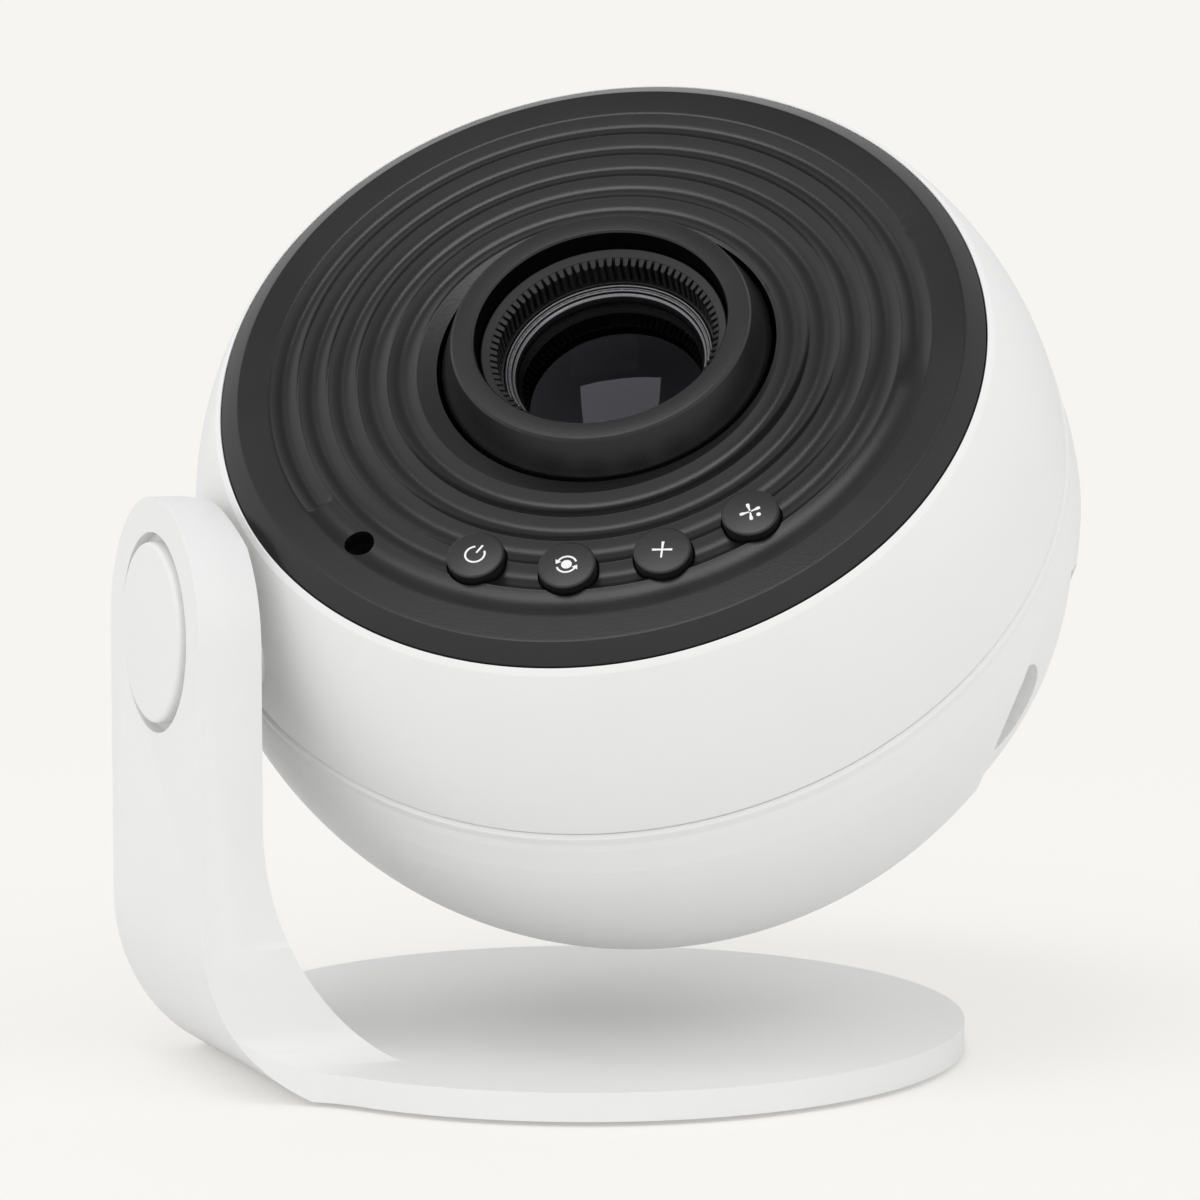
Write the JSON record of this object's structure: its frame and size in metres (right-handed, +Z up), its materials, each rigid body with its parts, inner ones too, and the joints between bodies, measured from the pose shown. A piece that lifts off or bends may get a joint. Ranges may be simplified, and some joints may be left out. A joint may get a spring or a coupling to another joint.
{
  "type": "planetarium projector",
  "caption": "Ball-shaped home planetarium projector with a rippled black front panel, on an L-shaped white stand; its head tilts and its lens ring turns to focus.",
  "frame": {"origin": "centre of the base disc's underside, on the surface that it stands on", "axes": "+Z up; the arm stands on the -X side; the front panel faces -Y and upwards"},
  "size_m": [0.1608, 0.1476, 0.1624],
  "materials": {
    "shell_white": "satin white moulding",
    "stand_white": "satin white moulding",
    "panel_black": "black moulding, satin",
    "ring_black": "black moulding, fine satin",
    "barrel_black": "black moulding, matt",
    "button_black": "black moulding, satin, white print",
    "frame_black": "black glass-filled moulding",
    "socket_black": "moulded socket",
    "cover_grey": "plain moulding",
    "pad_rubber": "thin anti-slip pad",
    "bush_acetal": "natural acetal",
    "gear_acetal": "natural acetal",
    "fibre": "red fibre",
    "circuit_green": "solder-masked circuit board",
    "steel": "plain steel",
    "screw_steel": "zinc-plated steel",
    "motor_can": "drawn steel can",
    "heat_alloy": "anodised aluminium",
    "brass_post": "turned brass",
    "retainer_chrome": "polished black ring",
    "lens_glass": "coated optical glass",
    "led_yellow": "phosphor",
    "film_dark": "photographic film with pinholes"
  },
  "bodies": {
    "stand": {"stand_body": "stand_white", "base_weight": "steel", "base_cover": "cover_grey", "base_screws": "screw_steel", "base_pad": "pad_rubber", "pivot_bush": "bush_acetal", "friction_washer": "fibre", "spring_washer": "screw_steel", "pivot_cap": "stand_white"},
    "head": {"upper_shell": "shell_white", "lower_shell": "shell_white", "shell_screws": "screw_steel", "pivot_shaft": "steel", "pivot_nut": "screw_steel", "front_panel": "panel_black", "button_board": "circuit_green", "lens_guide": "frame_black", "upper_deck": "frame_black", "lower_deck": "frame_black", "deck_posts": "brass_post", "tray_rails": "bush_acetal", "main_board": "circuit_green", "condenser_holder": "frame_black", "condenser_rear": "lens_glass", "condenser_front": "lens_glass", "led_board": "heat_alloy", "led": "led_yellow", "heat_sink": "heat_alloy", "disc_motor": "motor_can", "power_socket": "socket_black", "meteor_tube": "frame_black", "meteor_lens": "lens_glass", "meteor_lamp": "led_yellow"},
    "focus": {"focus_ring": "ring_black"},
    "lens_carrier": {"lens_barrel": "barrel_black", "lens_retainer": "retainer_chrome", "front_lens": "lens_glass", "middle_lens": "lens_glass", "rear_lens": "lens_glass", "front_spacer": "frame_black", "rear_spacer": "frame_black"},
    "drawer": {"disc_tray": "frame_black", "disc_door": "shell_white"},
    "disc": {"disc_gear": "gear_acetal", "star_film": "film_dark"},
    "pinion": {"motor_pinion": "brass_post", "motor_shaft": "steel"},
    "power_button_cap": {"power_button": "button_black"},
    "rotate_button_cap": {"rotate_button": "button_black"},
    "plus_button_cap": {"plus_button": "button_black"},
    "meteor_button_cap": {"meteor_button": "button_black"}
  },
  "joints": [
    {"name": "head_tilt", "type": "hinge", "parent": "stand", "child": "head", "pos_m": [-0.066, 0, 0.0737], "axis": [1, 0, 0], "range_deg": [-40, 50]},
    {"name": "focus_turn", "type": "hinge", "parent": "head", "child": "focus", "pos_m": [-0.00802, -0.02389, 0.12087], "axis": [-0.4337, -0.5732, 0.6953], "range_deg": [-60, 60]},
    {"name": "lens_slide", "type": "slide", "parent": "head", "child": "lens_carrier", "axis": [-0.4337, -0.5732, 0.6953], "range_m": [-0.0018, 0.0018]},
    {"name": "drawer_slide", "type": "slide", "parent": "head", "child": "drawer", "axis": [0.6665, -0.7233, -0.1806], "range_m": [0, 0.088]},
    {"name": "disc_turn", "type": "hinge", "parent": "drawer", "child": "disc", "pos_m": [0.0193, 0.01222, 0.07707], "axis": [-0.4337, -0.5732, 0.6953], "continuous": true},
    {"name": "pinion_turn", "type": "hinge", "parent": "head", "child": "pinion", "pos_m": [0.00631, 0.02633, 0.08059], "axis": [-0.4337, -0.5732, 0.6953], "continuous": true},
    {"name": "power_button_press", "type": "slide", "parent": "head", "child": "power_button_cap", "axis": [0.4337, 0.5732, -0.6953], "range_m": [0, 0.0007], "stiffness_N_per_m": 1200, "springref_m": -0.0006},
    {"name": "rotate_button_press", "type": "slide", "parent": "head", "child": "rotate_button_cap", "axis": [0.4337, 0.5732, -0.6953], "range_m": [0, 0.0007], "stiffness_N_per_m": 1200, "springref_m": -0.0006},
    {"name": "plus_button_press", "type": "slide", "parent": "head", "child": "plus_button_cap", "axis": [0.4337, 0.5732, -0.6953], "range_m": [0, 0.0007], "stiffness_N_per_m": 1200, "springref_m": -0.0006},
    {"name": "meteor_button_press", "type": "slide", "parent": "head", "child": "meteor_button_cap", "axis": [0.4337, 0.5732, -0.6953], "range_m": [0, 0.0007], "stiffness_N_per_m": 1200, "springref_m": -0.0006}
  ],
  "couplings": [
    {"joint": "lens_slide", "follows": "focus_turn", "m_per_rad": 0.0017},
    {"joint": "pinion_turn", "follows": "disc_turn", "ratio": -5.5}
  ]
}
